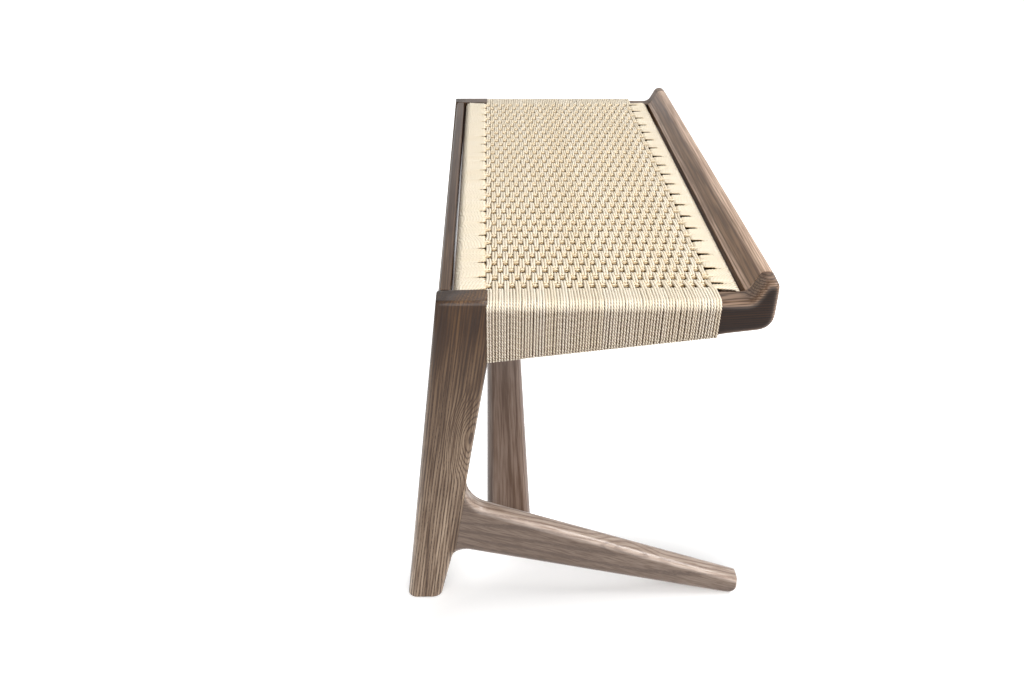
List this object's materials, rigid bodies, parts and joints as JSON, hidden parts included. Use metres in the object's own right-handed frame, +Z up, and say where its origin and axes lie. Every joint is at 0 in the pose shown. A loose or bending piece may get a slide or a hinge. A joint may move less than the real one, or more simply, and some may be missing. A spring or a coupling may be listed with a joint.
{
  "type": "cantilevered bench with a woven cord seat",
  "caption": "Low walnut bench with a flat seat of woven paper cord on cantilevered end frames, with a low stretcher and an upturned lip along the back.",
  "frame": {"origin": "on the floor under the middle of the bench's overall box", "axes": "+X along the bench, -Y towards the front (the post side), +Y towards the back (the lip side), +Z up"},
  "size_m": [0.734, 0.422, 0.452],
  "materials": {
    "walnut": "oiled satin",
    "paper_cord": "matt twisted paper",
    "felt": "pressed felt"
  },
  "bodies": {
    "root": {"right_post": "walnut", "left_post": "walnut", "right_foot": "walnut", "left_foot": "walnut", "right_end_rail": "walnut", "left_end_rail": "walnut", "front_rail": "walnut", "back_rail": "walnut", "front_cord_bar": "walnut", "back_cord_bar": "walnut", "floor_stretcher": "walnut", "right_post_rail_tenon": "walnut", "left_post_rail_tenon": "walnut", "right_post_foot_tenon": "walnut", "left_post_foot_tenon": "walnut", "right_front_rail_tenon": "walnut", "left_front_rail_tenon": "walnut", "right_front_bar_tenon": "walnut", "left_front_bar_tenon": "walnut", "right_back_bar_tenon": "walnut", "left_back_bar_tenon": "walnut", "right_back_rail_tenon": "walnut", "left_back_rail_tenon": "walnut", "right_stretcher_tenon": "walnut", "left_stretcher_tenon": "walnut", "right_end_wrap": "paper_cord", "left_end_wrap": "paper_cord", "front_bar_wrap": "paper_cord", "back_bar_wrap": "paper_cord", "seat_weave": "paper_cord", "right_post_glide": "felt", "left_post_glide": "felt", "right_foot_glide": "felt", "left_foot_glide": "felt"}
  },
  "joints": []
}
